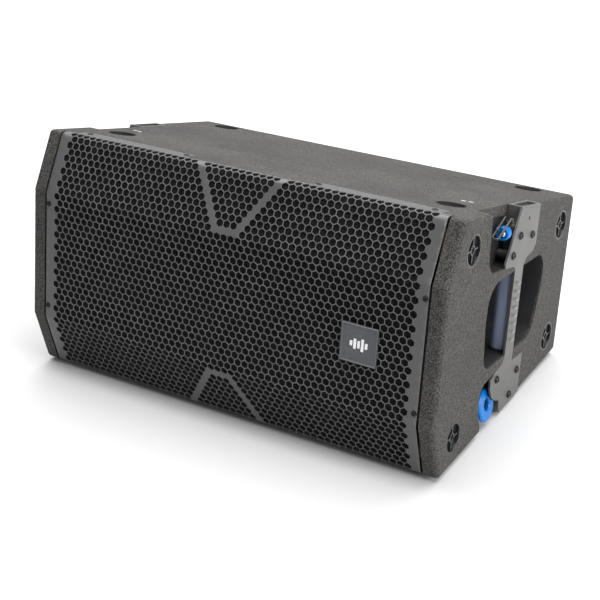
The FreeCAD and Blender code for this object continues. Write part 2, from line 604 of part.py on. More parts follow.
# ---------------------------------------------------------------- rear amplifier
def amplifier():
    floor = "depth - tray_deep"
    pan = block("tray_pan", ("-(tray_half_w - tray_lip - tiny)", f"{floor} - tray_sheet",
                             "-(tray_half_h - tray_lip - tiny)"),
                ("tray_half_w - tray_lip - tiny", "depth - tray_sheet / 2", "tray_half_h - tray_lip - tiny"))
    lip = block("tray_lip_plate", ("-tray_half_w", "depth - tray_sheet", "-tray_half_h"),
                ("tray_half_w", "depth", "tray_half_h"))
    hollow = block("tray_hollow", ("-(tray_half_w - tray_lip - 3)", floor, "-(tray_half_h - tray_lip - 3)"),
                   ("tray_half_w - tray_lip - 3", "depth + 1", "tray_half_h - tray_lip - 3"))
    holes = pilot_holes("tray_holes", "2", "8", tray_screw_spots)
    shaft_hole = rod("shaft_hole", "Y", ("95", f"{floor} - 8", "-48"), "3.05", "12")
    rocker_hole = block("rocker_hole", ("119", f"{floor} - 20", "-56"), ("141", f"{floor} + 8", "-40"))
    tray = cut("tray", fuse("tray_blank", pan, lip), hollow, holes, shaft_hole, rocker_hole)
    node("amp_tray", tray)
    base = block("sink_base", ("-154", floor, "-70"), ("-6", f"{floor} + 3", "70"))
    fins = [block(f"sink_fin_{number}", (str(-154 + 9.6 * number), f"{floor} + 2", "-70"),
                  (str(-154 + 9.6 * number + 2.2), "depth - 2", "70")) for number in range(16)]
    node("heat_sink", fuse("heat_sink", base, *fins))
    board = block("board", ("-150", f"{floor} - 14", "-66"), ("110", f"{floor} - 12", "66"))
    coil = lathe("transformer", "Y", [("14", f"{floor} - 56"), ("44", f"{floor} - 56"),
                                      ("48", f"{floor} - 50"), ("48", f"{floor} - 22"),
                                      ("44", f"{floor} - 15"), ("14", f"{floor} - 15")],
                 ("-80", "0", "0"))
    node("amp_electronics", group("amp_electronics", [board, coil]))
    knob = lathe("knob_body", "Y", [("0", f"{floor} + 1"), ("8", f"{floor} + 1"), ("9", f"{floor} + 3"),
                                    ("7.5", f"{floor} + 15"), ("0", f"{floor} + 15")], ("95", "0", "-48"))
    shaft = rod("knob_shaft", "Y", ("95", f"{floor} - 6", "-48"), "3", "8")
    mark = block("knob_mark", ("94.4", f"{floor} + 14.4", "-46"), ("95.6", f"{floor} + 16", "-36"))
    node("level_knob", cut("knob", fuse("knob_on_shaft", knob, shaft), mark))
    rocker = prism("rocker", "X", [(f"{floor} - 8", "-53"), (f"{floor} + 3.5", "-54.6"),
                                   (f"{floor} + 1.8", "-48"),
                                   (f"{floor} + 5.5", "-41.8"), (f"{floor} - 8", "-43")], "120", "140")
    node("power_switch", rocker)
    node("rear_sockets", group("rear_sockets", [
        socket("line_in", 40, 38, 13, 9.5), socket("line_out", 80, 38, 13, 9.5),
        socket("mains_in", 122, 36, 14.5, 11.5), socket("mains_out", 40, -36, 14.5, 11.5)]))
    lamp = lathe("lamp", "Y", [("0", floor), ("3", floor), ("3", f"{floor} + 2"), ("2", f"{floor} + 3.2"),
                               ("0", f"{floor} + 3.2")], ("72", "0", "-48"))
    node("indicator_lamp", lamp)
    master = screw("tray_screw", "3.8", "1.8", "2", "11", "1.6")
    node("amp_screws", group("amp_screws", copies("tray_screw", master, tray_screw_spots)))


def socket(name, x, z, outer, inner):
    """A round chassis socket: square flange, collar and a blind mouth."""
    floor = "depth - tray_deep"
    flange = block(name + "_flange", (str(x - outer - 1), floor, str(z - outer - 1)),
                   (str(x + outer + 1), f"{floor} + 2", str(z + outer + 1)))
    collar = rod(name + "_collar", "Y", (str(x), floor, str(z)), str(outer - 1), "16")
    mouth = rod(name + "_mouth", "Y", (str(x), f"{floor} + 3", str(z)), str(inner), "20")
    return cut(name, fuse(name + "_shell", flange, collar), mouth)


tray_screw_spots = [(V(sx * 168, size["depth"], z), OUT_BACK) for sx in SIGNS for z in (-84, 0, 84)]
tray_screw_spots += [(V(0, size["depth"], sz * 85), OUT_BACK) for sz in SIGNS]


# ---------------------------------------------------------------- rigging, made on the right and mirrored
WALL_BOLTS = ((232, 111), (212, 87), (206, -93))
SKIN_BOLTS = ((278, 102), (282, -103), (262, -135))


def bolt_spots(places):
    """Places of plate bolts on both sides of the cabinet."""
    return [(V(sx * size["width"] / 2, y, z), OUT_RIGHT if sx > 0 else OUT_LEFT)
            for sx in SIGNS for y, z in places]


def rigging():
    outer_face = "width / 2"
    inner_face = "width / 2 - cheek"
    plate = prism("plate_blank", "X", plate_outline(), "width / 2 - plate", outer_face)
    eye = rod("plate_eye", "X", ("width / 2 - plate - 1", "259", "130"), "2.6", "plate + 2")
    plate = cut("rigging_plate", plate, eye,
                pilot_holes("wall_bolt_holes", "2.5", "12", bolt_spots(WALL_BOLTS)),
                pilot_holes("skin_bolt_holes", "2.5", "plate", bolt_spots(SKIN_BOLTS)))
    channels = rigging_channels(inner_face)
    liner_edge = top_z("365", "panel + tiny")
    liner_front = top_z("106", "panel + tiny")
    wall = prism("liner_wall", "X", [("106", neg(liner_front)), ("365", neg(liner_edge)), ("365", liner_edge),
                                     ("106", liner_front)], "width / 2 - cheek - 4", inner_face)
    cup = handle_prism("liner_cup", 4, "width / 2 - handle_deep", "width / 2 - cheek - 3")
    hollow = handle_prism("liner_hollow", 0, "width / 2 - handle_deep + 4", "width / 2")
    liner = cut("pocket_liner", fuse("liner_blank", wall, cup), hollow)
    grip = lathe("grip_tube", "Z", [("0", "-63.8"), ("10", "-63.8"), ("grip", "-60"), ("grip", "58"),
                                    ("10", "61.8"),
                                    ("0", "61.8")], ("grip_x", "grip_y", "0"))
    link = link_bar()
    pieces = {"rigging_plate": plate, "rigging_channels": channels,
              "pocket_liner": liner, "handle_grip": grip,
              "link_bar": link}
    pieces.update(upper_pin())
    pieces.update(lower_pin())
    for name, piece in pieces.items():
        node(name + "_right", group(name + "_right_node", [piece]))
        node(name + "_left", group(name + "_left_node", [mirrored(name + "_mirror", piece)]))
    long = screw("wall_bolt", "bolt_head", "bolt_rise", "2.5", "12", "2.7")
    short = screw("skin_bolt", "bolt_head", "bolt_rise", "2.5", "plate", "2.7")
    node("rigging_bolts", group("rigging_bolts", copies("wall_bolt", long, bolt_spots(WALL_BOLTS))
                                + copies("skin_bolt", short, bolt_spots(SKIN_BOLTS))))


def rigging_channels(inner_face):
    """Guide channels above and below, three walls each, and the posts that carry the plate's ears."""
    far = "width / 2 - plate"
    walls = (("back", "channel_front", "channel_rear", f"{inner_face} + channel_back"),
             ("front", "channel_front", "channel_front + channel_wall", far),
             ("rear", "channel_rear - channel_wall", "channel_rear", far))
    bored = []
    for name, pin_z in (("upper", "upper_pin_z"), ("lower", "lower_pin_z")):
        solids = []
        for part, y_low, y_high, x_high in walls:
            if name == "upper":
                points = [(y_low, "channel_low + 12"), (y_high, "channel_low + 12"), (y_high, top_z(y_high)),
                          (y_low, top_z(y_low))]
            else:
                points = [(y_low, neg(top_z(y_low))), (y_high, neg(top_z(y_high))), (y_high, "channel_foot"),
                          (y_low, "channel_foot")]
            solids.append(prism(f"{name}_channel_{part}", "X", points, inner_face, x_high))
        bore = rod(f"{name}_bore", "Y", ("pin_x", "channel_front - 1", pin_z), "pin + pin_fit",
                   "channel_wall + 2")
        bored.append(cut(f"{name}_channel_bored", fuse(f"{name}_channel", *solids), bore))
    for number, (y, z) in enumerate(WALL_BOLTS[1:]):
        bored.append(rod(f"ear_post_{number}", "X", (inner_face, str(y), str(z)), "6", "cheek - plate"))
    return cut("channels", group("channel_parts", bored),
               pilot_holes("channel_holes", "2.5", "12", bolt_spots(WALL_BOLTS)))


def link_bar():
    """A flat bar that rises out of the upper channel; the pin runs through its long slot."""
    y_low, y_high = "channel_front + channel_wall + 1", "channel_rear - channel_wall - 1"
    points = [(y_low, "link_low"), (y_high, "link_low"),
              (y_high, f"link_high - (({y_high}) - 263) * tan(lean)"),
              (y_low, f"link_high - (({y_low}) - 263) * tan(lean)")]
    bar = prism("link_blank", "X", points, "pin_x - link_thick / 2", "pin_x + link_thick / 2", [3, 3, 0, 0])
    slot = block("link_slot", ("pin_x - pin - tiny", "channel_front", "link_low + 8"),
                 ("pin_x + pin + tiny", "channel_rear", "link_low + 8 + link_travel"))
    ends = [rod(f"link_slot_end_{number}", "Y", ("pin_x", "channel_front", z), "pin + tiny",
                "channel_rear - channel_front")
            for number, z in enumerate(("link_low + 8", "link_low + 8 + link_travel", "link_low + 53.6"))]
    return cut("link_bar", bar, slot, *ends)


def pin_shank(name, z, nose, head):
    """A steel pin along Y with a bullet nose; head is its enlarged front end."""
    profile = [("0", head[0][1])] + head + [("pin", "channel_front"), ("pin", f"{nose} - 4"),
                                            ("pin - 2", nose),
                                            ("0", nose)]
    return lathe(name, "Y", profile, ("pin_x", "0", z))


def upper_pin():
    """Detent pin with a round blue collar and a steel push button in its middle."""
    head = [("5", "198"), ("5", "channel_front - 6"), ("6.5", "channel_front - 6"), ("6.5", "channel_front")]
    shank = pin_shank("upper_pin", "upper_pin_z", "upper_nose", head)
    well = rod("button_well", "Y", ("pin_x", "197", "upper_pin_z"), "2.56", "9")
    shank = cut("upper_pin", shank, well)
    collar = lathe("collar", "Y", [("5", "186"), ("8.5", "186"), ("9.6", "188"), ("9.6", "196"),
                                   ("8.5", "199"),
                                   ("6", "204"), ("5", "204")], ("pin_x", "0", "upper_pin_z"))
    button = lathe("button", "Y", [("0", "185"), ("3", "185"), ("4.6", "186.5"), ("4.6", "194"),
                                   ("2.5", "194"),
                                   ("2.5", "202"), ("0", "202")], ("pin_x", "0", "upper_pin_z"))
    return {"upper_pin": shank, "upper_pin_collar": collar, "upper_pin_button": button,
            "retaining_wire": wire_loop()}


def wire_loop():
    """A hairpin of steel wire held behind the collar, with a crimped ferrule on its inner leg."""
    x, gap, thick = size["pin_x"], 4.5, 0.9
    rear, top, tip = (214, size["upper_pin_z"] + 6), (206, 142), (165, 123)

    def spot(side, place):
        return V(x + side * gap, *place)

    run = (spot(1, tip) - spot(1, top)).normalize()
    inner, outer = spot(-1, tip), spot(1, tip)
    bend = Part.Arc(outer, (inner + outer) / 2 + run * gap, inner)
    legs = []
    for side in SIGNS:
        corner, low, ahead = spot(side, top), spot(side, rear), spot(side, tip)
        near = corner + (low - corner).normalize() * 5
        away = corner + (ahead - corner).normalize() * 5
        middle = (near + away) / 2 * 0.55 + corner * 0.45
        legs.append([Part.LineSegment(low, near), Part.Arc(near, middle, away),
                     Part.LineSegment(away, ahead)])
    path = Part.Wire([curve.toShape() for curve in legs[1] + [bend] + legs[0][::-1]])
    start = spot(1, rear)
    section = Part.Wire(Part.Circle(start, spot(1, rear) - spot(1, top), thick).toShape())
    loop = path.makePipeShell([section], True, True)
    middle = spot(-1, top) + run * 27
    ferrule = Part.makeCylinder(2.2, 6, middle, run)
    piece = doc.addObject("Part::Feature", "retaining_wire")
    piece.Shape = loop.fuse(ferrule)
    return piece


def lower_pin():
    """Detent pin with a fat blue pull ring moulded on its front end, leaning out at the bottom."""
    shank = pin_shank("lower_pin", "lower_pin_z", "lower_nose",
                      [("4.2", "ring_y + 19"), ("5.8", "ring_y + 22"), ("5.8", "channel_front")])
    ring = lathe("ring_turned", "Z", [("9", "-2"), ("11", "-3.6"), ("22.5", "-3.6"), ("25", "-1.6"),
                                      ("25", "1.6"),
                                      ("22.5", "3.6"), ("11", "3.6"), ("9", "2")])
    lying = FreeCAD.Rotation(V(0, 1, 0), 90 - size["ring_lean"])
    ring.Placement = FreeCAD.Placement(V(size["ring_x"], size["ring_y"], size["lower_pin_z"]), lying)
    notch = rod("ring_notch", "Y", ("pin_x", "ring_y + 19", "lower_pin_z"), "5.8", "30")
    return {"lower_pin": shank, "lower_pin_ring": cut("lower_ring", ring, notch)}


# ---------------------------------------------------------------- build, check and write
cabinet()
baffle_board()
inner_woodwork()
front_cover()
cups_and_feet()
woofer()
horn()
amplifier()
rigging()
doc.recompute()

# The cabinet tips about X until its bottom wall is level, rests on its feet and is centred front to back.
sine, cosine = math.sin(math.radians(LEAN)), math.cos(math.radians(LEAN))
drop = size["facet_run"] * sine + size["front_half"] * cosine + size["foot_height"]
tipped = nodes[0].Shape.copy()
tipped.Placement = FreeCAD.Placement(V(0, 0, drop), FreeCAD.Rotation(V(1, 0, 0), -LEAN))
standing = FreeCAD.Placement(V(0, -tipped.optimalBoundingBox(False).Center.y, drop),
                             tipped.Placement.Rotation)
for piece in nodes:
    piece.Placement = standing.multiply(piece.Placement)
doc.recompute()

failed = [item.Name for item in doc.Objects if {"Invalid", "Error"} & set(item.State)]
for piece in nodes:
    if piece.Shape.isNull() or not piece.Shape.isValid() or not piece.Shape.Solids:
        failed.append(piece.Label)
if failed:
    raise RuntimeError("these did not build: " + ", ".join(failed))

os.makedirs("parts", exist_ok=True)
for piece in nodes:
    piece.Shape.exportStep(f"parts/{piece.Label}.step")
print(len(nodes), "nodes written, cabinet shifted by", standing.Base)
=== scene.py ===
"""Looks of the wedge shaped line array cabinet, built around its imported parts, in metres."""
import bmesh
import bpy
import json
import math
from mathutils import Matrix, Vector, noise


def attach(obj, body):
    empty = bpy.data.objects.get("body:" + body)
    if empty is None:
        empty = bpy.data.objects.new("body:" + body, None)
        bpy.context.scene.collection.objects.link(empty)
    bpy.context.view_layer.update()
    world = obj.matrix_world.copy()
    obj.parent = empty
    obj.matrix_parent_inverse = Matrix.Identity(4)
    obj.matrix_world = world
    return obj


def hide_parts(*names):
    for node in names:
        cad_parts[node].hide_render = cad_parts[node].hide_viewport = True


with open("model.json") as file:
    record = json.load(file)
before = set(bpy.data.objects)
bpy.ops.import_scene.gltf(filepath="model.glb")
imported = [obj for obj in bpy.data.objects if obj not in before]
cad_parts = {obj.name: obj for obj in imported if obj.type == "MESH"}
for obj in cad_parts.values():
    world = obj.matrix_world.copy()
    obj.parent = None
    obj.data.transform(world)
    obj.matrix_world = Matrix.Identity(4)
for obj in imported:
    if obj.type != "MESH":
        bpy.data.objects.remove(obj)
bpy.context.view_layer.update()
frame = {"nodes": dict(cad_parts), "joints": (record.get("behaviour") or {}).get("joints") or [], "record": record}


# ---------------------------------------------------------------- camera, light and floor
# The cabinet stands on a pale floor and is seen from its front right corner, a little from above.
# A very broad soft light hangs over and behind it, a second fills the right side, and the pale
# floor throws some of that light back up at the front.
scene = bpy.context.scene
SENSOR = 36.0
FOCAL_LENGTH, FRAME_WIDTH, FRAME_SHIFT = 1361.0, 600.0, -40
AZIMUTH, ELEVATION = math.radians(30.64), math.radians(24.99)
AIM = Vector((-0.006, 0.0, 0.1593))
CAMERA_DISTANCE = 2.0346
ROOM_GLOW = 0.22
FLOOR_HALF, FLOOR_TONE, FLOOR_ROUGHNESS = 8.0, 0.62, 0.9

camera = bpy.data.objects.new("camera", bpy.data.cameras.new("camera"))
scene.collection.objects.link(camera)
camera.data.sensor_width = SENSOR
camera.data.lens = FOCAL_LENGTH / FRAME_WIDTH * SENSOR
camera.data.shift_y = FRAME_SHIFT / FRAME_WIDTH
towards_camera = Vector((math.sin(AZIMUTH) * math.cos(ELEVATION),
                         -math.cos(AZIMUTH) * math.cos(ELEVATION), math.sin(ELEVATION)))
camera.location = AIM + towards_camera * CAMERA_DISTANCE
camera.rotation_euler = (math.pi / 2 - ELEVATION, 0, AZIMUTH)
scene.camera = camera
scene.view_settings.view_transform = "Standard"

room = bpy.data.worlds.new("pale_room")
scene.world = room
room.use_nodes = True
room.node_tree.nodes["Background"].inputs["Color"].default_value = (1.0, 1.0, 1.0, 1.0)
room.node_tree.nodes["Background"].inputs["Strength"].default_value = ROOM_GLOW


def soft_light(name, place, aim, width, power):
    """A square area light that faces a point."""
    lamp = bpy.data.lights.new(name, "AREA")
    lamp.size = width
    lamp.energy = power
    holder = bpy.data.objects.new(name, lamp)
    scene.collection.objects.link(holder)
    holder.location = place
    holder.rotation_euler = (Vector(aim) - Vector(place)).to_track_quat("-Z", "Y").to_euler()


soft_light("overhead_light", place=(-0.3, 1.1, 2.8), aim=(-0.3, 1.0, 0), width=4.6, power=300)
soft_light("right_light", place=(2.6, -0.5, 1.1), aim=(0.3, 0, 0.15), width=1.3, power=55)

floor_mesh = bmesh.new()
bmesh.ops.create_grid(floor_mesh, x_segments=1, y_segments=1, size=FLOOR_HALF)
floor_data = bpy.data.meshes.new("floor")
floor_mesh.to_mesh(floor_data)
floor_mesh.free()
floor_paint = bpy.data.materials.new("pale_floor")
floor_paint.use_nodes = True
floor_shader = floor_paint.node_tree.nodes["Principled BSDF"]
floor_shader.inputs["Base Color"].default_value = (FLOOR_TONE, FLOOR_TONE, FLOOR_TONE, 1)
floor_shader.inputs["Roughness"].default_value = FLOOR_ROUGHNESS
floor_data.materials.append(floor_paint)
floor = bpy.data.objects.new("floor", floor_data)
scene.collection.objects.link(floor)


# ---------------------------------------------------------------- cabinet panels
# Five plywood panels are glued into a box, routed for the cups, the pockets and the hand holes, and sprayed with a
# pebbled two-part coat that is nearly black. Its rounded grains carry painted highlights on their crowns, and a
# paler painted highlight runs along the outer edges.
joints = {joint["name"]: joint for joint in frame["joints"]}
slot_of = {row["node"]: row["material_slot"] for row in frame["record"]["subparts"]}
body_of = {node: body for body, members in frame["record"]["behaviour"]["bodies"].items()
           for node in members}
cabinet_up = Vector(joints["link_rise_right"]["axis"])
cabinet_back = Vector(joints["level_knob_turn"]["axis"])
KNOB_PLACE = Vector((0.095, 0.430, -0.048))  # the level knob in the cabinet's own frame
turned = Matrix((Vector((1, 0, 0)), cabinet_back, cabinet_up)).transposed()
cabinet_origin = Vector(joints["level_knob_turn"]["pos_m"]) - turned @ KNOB_PLACE
MM = 0.001
# CABINET takes millimetres in the cabinet's own frame (x across, y back from the face, z up)
# to the row frame.
CABINET = Matrix.Translation(cabinet_origin) @ turned.to_4x4() @ Matrix.Scale(MM, 4)


def feed(tree, socket, value):
    """Sets a socket to a value, or links it if the value is itself a socket."""
    if isinstance(value, bpy.types.NodeSocket):
        tree.links.new(value, socket)
    else:
        socket.default_value = value


def put(tree, kind, settings=None, inputs=None):
    """Adds a shader node with its settings and inputs."""
    node = tree.nodes.new("ShaderNode" + kind)
    for name, value in (settings or {}).items():
        setattr(node, name, value)
    for name, value in (inputs or {}).items():
        feed(tree, node.inputs[name], value)
    return node


def where(tree):
    """The place of a point on its own piece."""
    return put(tree, "TexCoord").outputs["Object"]


def noise_at(tree, place, scale, **inputs):
    """A soft noise from 0 to 1."""
    return put(tree, "TexNoise", {}, {"Vector": place, "Scale": scale, **inputs}).outputs[0]


def combine(tree, operation, first, second=0.5, clamp=False):
    """One arithmetic step on two values."""
    return put(tree, "Math", {"operation": operation, "use_clamp": clamp},
               {0: first, 1: second}).outputs[0]


def spread(tree, value, low, high, to_low=0.0, to_high=1.0):
    """Stretches the part of a value between low and high over another range."""
    return put(tree, "MapRange", {}, {"Value": value, "From Min": low, "From Max": high,
                                      "To Min": to_low, "To Max": to_high}).outputs["Result"]


def drift(tree, value, to_low=0.0, to_high=1.0):
    """Stretches the middle of a noise, where nearly all of it lies, over a range."""
    return spread(tree, value, 0.3, 0.7, to_low, to_high)


def blend_colours(tree, share, first, second):
    """The first colour where the share is 0 and the second where it is 1."""
    return put(tree, "Mix", {"data_type": "RGBA"}, {0: share, 6: first, 7: second}).outputs[2]


def new_group(name, inputs, outputs):
    """An effect that several materials share, with named inputs and outputs."""
    group = bpy.data.node_groups.new(name, "ShaderNodeTree")
    for title, kind, value in inputs:
        socket = group.interface.new_socket(title, in_out="INPUT", socket_type="NodeSocket" + kind)
        socket.default_value = value
    for title, kind in outputs:
        group.interface.new_socket(title, in_out="OUTPUT", socket_type="NodeSocket" + kind)
    given = group.nodes.new("NodeGroupInput").outputs
    return group, given, group.nodes.new("NodeGroupOutput").inputs


def use_group(tree, group, **inputs):
    """Places a shared effect in a material with its own values, and gives its outputs."""
    node = tree.nodes.new("ShaderNodeGroup")
    node.node_tree = group
    for name, value in inputs.items():
        feed(tree, node.inputs[name.replace("_", " ")], value)
    return node.outputs


def start_material(name, **sockets):
    """A material with its constants on the shader's own sockets."""
    material = bpy.data.materials.new(name)
    material.use_nodes = True
    tree = material.node_tree
    shader = tree.nodes["Principled BSDF"]
    for title, value in sockets.items():
        shader.inputs[title.replace("_", " ")].default_value = value
    return material, tree, shader


def bump(tree, shader, height, distance, strength=1.0):
    """Small relief, in metres, on a shader's normal."""
    relief = put(tree, "Bump", {}, {"Height": height, "Distance": distance, "Strength": strength})
    tree.links.new(relief.outputs["Normal"], shader.inputs["Normal"])


# pebbled coat: rounded grains whose crowns carry a painted highlight, over slow cloudy changes
pebble_group, given, result = new_group(
    "pebbled_coat",
    [("Base", "Color", (0.07, 0.07, 0.07, 1)), ("Crown", "Color", (0.1, 0.1, 0.1, 1)),
     ("Grains per metre", "Float", 500)],
    [("Colour", "Color"), ("Roughness", "Float"), ("Height", "Float")])
place = where(pebble_group)
grains = put(pebble_group, "TexVoronoi", {"feature": "SMOOTH_F1"},
             {"Vector": place, "Scale": given["Grains per metre"], "Smoothness": 0.30,
              "Randomness": 1.0})
crumbs = noise_at(pebble_group, place, 900.0, Detail=3.0, Roughness=0.6)
cloud = noise_at(pebble_group, place, 9.0, Detail=4.0, Roughness=0.55)
crown = spread(pebble_group, grains.outputs["Distance"], 0.15, 0.65, 1.0, 0.0)
height = combine(pebble_group, "ADD", crown, combine(pebble_group, "MULTIPLY", crumbs, 0.6))
cloudy = drift(pebble_group, cloud, 0.5, 0.95)
# the lighter colour on the crowns is a painted highlight, dimmed in places by the cloud
crown_highlight_share = combine(pebble_group, "MULTIPLY", height, cloudy, clamp=True)
feed(pebble_group, result["Colour"],
     blend_colours(pebble_group, crown_highlight_share, given["Base"], given["Crown"]))
feed(pebble_group, result["Roughness"], drift(pebble_group, cloud, 0.58, 0.72))
feed(pebble_group, result["Height"], height)

# painted edge highlight: paler places on outer edges, broken up by noise
highlight_edge_group, given, result = new_group(
    "painted_edge_highlight", [("Radius", "Float", 0.001), ("Amount", "Float", 0.5)], [("Mask", "Float")])
rounded = put(highlight_edge_group, "Bevel", {"samples": 4}, {"Radius": given["Radius"]})
true_normal = put(highlight_edge_group, "NewGeometry").outputs["Normal"]
facing = put(highlight_edge_group, "VectorMath", {"operation": "DOT_PRODUCT"},
             {0: rounded.outputs[0], 1: true_normal}).outputs["Value"]
edge = spread(highlight_edge_group, facing, 0.99, 0.85)
patches = noise_at(highlight_edge_group, where(highlight_edge_group), 60.0, Detail=5.0, Roughness=0.65)
lit_edge = combine(highlight_edge_group, "MULTIPLY", edge, spread(highlight_edge_group, patches, 0.45, 0.62))
feed(highlight_edge_group, result["Mask"], combine(highlight_edge_group, "MULTIPLY", lit_edge, given["Amount"]))

# fine grain: the small unevenness that every moulded, cast or painted surface has
grain_group, given, result = new_group(
    "fine_grain",
    [("Grains per metre", "Float", 1500.0), ("Smooth", "Float", 0.4), ("Rough", "Float", 0.55)],
    [("Height", "Float"), ("Roughness", "Float"), ("Haze", "Float")])
place = where(grain_group)
specks = noise_at(grain_group, place, given["Grains per metre"], Detail=3.0)
haze = noise_at(grain_group, place, 22.0, Detail=5.0, Roughness=0.6)
feed(grain_group, result["Height"], specks)
feed(grain_group, result["Haze"], drift(grain_group, haze))
feed(grain_group, result["Roughness"], drift(grain_group, haze, given["Smooth"], given["Rough"]))


def surface(name, dark, light, sheen, grains=1500.0, relief=0.0001, highlight_tone=None, **sockets):
    """A material that drifts between two tones, with a fine grain, an uneven sheen and perhaps a paler painted
    highlight on its edges. The sheen is its lowest and highest roughness, and the relief is in metres."""
    material, tree, shader = start_material(name, **sockets)
    grain = use_group(tree, grain_group, Grains_per_metre=grains, Smooth=sheen[0], Rough=sheen[1])
    colour = blend_colours(tree, grain["Haze"], (*dark, 1), (*light, 1))
    # a paler tone on the edges is a painted highlight
    if highlight_tone:
        edge_highlight_mask = use_group(tree, highlight_edge_group, Radius=0.0008, Amount=0.55)["Mask"]
        colour = blend_colours(tree, edge_highlight_mask, colour, (*highlight_tone, 1))
    feed(tree, shader.inputs["Base Color"], colour)
    feed(tree, shader.inputs["Roughness"], grain["Roughness"])
    bump(tree, shader, grain["Height"], relief, 0.6)
    return material


def cabinet_coat():
    """The pebbled coat, with painted highlights on its grain crowns and a paler painted highlight on the outer
    edges.
    """
    material, tree, shader = start_material("cabinet_coat", Specular_IOR_Level=0.14)
    # The lighter Crown tone is a painted highlight on the grain crowns.
    coat = use_group(tree, pebble_group, Base=(0.014, 0.0134, 0.0126, 1),
                     Crown=(0.120, 0.115, 0.108, 1), Grains_per_metre=470.0)
    # The paler outer edges are a painted highlight.
    edge_highlight_mask = use_group(tree, highlight_edge_group, Radius=0.0016, Amount=0.35)["Mask"]
    feed(tree, shader.inputs["Base Color"],
         blend_colours(tree, edge_highlight_mask, coat["Colour"], (0.19, 0.185, 0.18, 1)))
    feed(tree, shader.inputs["Roughness"], coat["Roughness"])
    bump(tree, shader, coat["Height"], 0.0005, 0.9)
    return material


def dress(node, material):
    """Gives a CAD node its finished material."""
    data = frame["nodes"][node].data
    data.materials.clear()
    data.materials.append(material)


coat_material = cabinet_coat()
for panel in ("side_wall_left", "side_wall_right", "top_panel", "bottom_panel", "rear_panel"):
    dress(panel, coat_material)


# ---------------------------------------------------------------- foam behind the grille
# A sheet of open-cell black foam, 8 mm thick, keeps dust off the drivers. It lies against the back
# of the grille, follows its folds and is held only by being squeezed there.
FACET_HALF, FACET_RISE, FACET_RUN = 96.0, 82.0, 34.0
LEAN = math.radians(7.5)
SHEET = 1.5
BROW_RADIUS, EDGE_RADIUS = 4.0, 10.0
FOAM_HALF_WIDTH, FOAM_GAP, FOAM_THICK = 297.0, 0.9, 6.1
WAVE, WAVE_LENGTH = 0.6, 22
facet_turn = math.atan2(FACET_RUN, FACET_RISE)
top_turn = math.radians(90) + LEAN - facet_turn
brow_cut = BROW_RADIUS * math.tan(facet_turn / 2)
edge_cut = EDGE_RADIUS * math.tan(top_turn / 2)
# each fold: the straight run before it, how far it turns and its outer radius; the flange past
# the last one runs straight on for as far as it is needed
BROW_FOLD = (FACET_HALF - brow_cut, facet_turn, BROW_RADIUS)
EDGE_FOLD = (math.hypot(FACET_RISE, FACET_RUN) - brow_cut - edge_cut, top_turn, EDGE_RADIUS)
FLANGE = (1000.0, 0.0, 1.0)
edge_end = sum(straight + turn * radius for straight, turn, radius in (BROW_FOLD, EDGE_FOLD))


def fold(run, behind):
    """Where a flat sheet's point comes to, run mm from the middle line and behind mm back from
    its face."""
    left, y, z, lean = abs(run), 0.0, 0.0, 0.0
    for straight, turn, radius in (BROW_FOLD, EDGE_FOLD, FLANGE):
        step = min(left, straight)
        y += step * math.sin(lean)
        z += step * math.cos(lean)
        left -= step
        bend = min(turn, left / radius)
        y += radius * (math.cos(lean) - math.cos(lean + bend))
        z += radius * (math.sin(lean + bend) - math.sin(lean))
        lean += bend
        left -= bend * radius
        if left <= 1e-9:
            break
    return y + behind * math.cos(lean), math.copysign(z - behind * math.sin(lean), run)


def finish_piece(bm, name, material, body, sharp=35.0, placing=CABINET):
    """Turns a bmesh, in cabinet millimetres unless it is placed otherwise, into a piece that
    rides on a body."""
    bmesh.ops.transform(bm, matrix=placing, verts=bm.verts)
    bmesh.ops.recalc_face_normals(bm, faces=bm.faces)
    data = bpy.data.meshes.new(name)
    bm.to_mesh(data)
    bm.free()
    data.shade_smooth()
    data.set_sharp_from_angle(angle=math.radians(sharp))
    data.materials.append(material)
    piece = bpy.data.objects.new(name, data)
    scene.collection.objects.link(piece)
    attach(piece, body)
    return piece


def thicken(piece, millimetres):
    """Gives a sheet its thickness behind its face."""
    thickness = piece.modifiers.new("thickness", "SOLIDIFY")
    thickness.thickness = millimetres * MM
    thickness.offset = -1


def open_cell_foam():
    """Pale cell walls around dark cells, under a little dust."""
    material, tree, shader = start_material("open_cell_foam", Specular_IOR_Level=0.1)
    place = where(tree)
    cells = put(tree, "TexVoronoi", {"feature": "DISTANCE_TO_EDGE"},
                {"Vector": place, "Scale": 900.0})
    walls = spread(tree, cells.outputs["Distance"], 0.0, 0.25, 1.0, 0.0)
    dust = noise_at(tree, place, 35.0, Detail=3.0)
    share = combine(tree, "MULTIPLY", walls, drift(tree, dust, 0.5, 1.0))
    feed(tree, shader.inputs["Base Color"],
         blend_colours(tree, share, (0.010, 0.010, 0.010, 1), (0.042, 0.042, 0.042, 1)))
    feed(tree, shader.inputs["Roughness"], spread(tree, walls, 0.0, 1.0, 0.95, 0.8))
    bump(tree, shader, walls, 0.0015)
    return material


def foam_sheet():
    """The foam, slightly wavy, behind the whole grille."""
    half_run = edge_end + 1.0
    bm = bmesh.new()
    bmesh.ops.create_grid(bm, x_segments=90, y_segments=72, size=1.0)
    for vert in bm.verts:
        x, run = vert.co.x * FOAM_HALF_WIDTH, vert.co.y * half_run
        wave = WAVE * noise.noise(Vector((x / WAVE_LENGTH, run / WAVE_LENGTH, 0)))
        y, z = fold(run, SHEET + FOAM_GAP + wave)
        vert.co = (x, y, z)
    piece = finish_piece(bm, "foam_sheet", open_cell_foam(), "cabinet",
                         sharp=60)
    thicken(piece, FOAM_THICK)
    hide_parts("grille_foam")


foam_sheet()


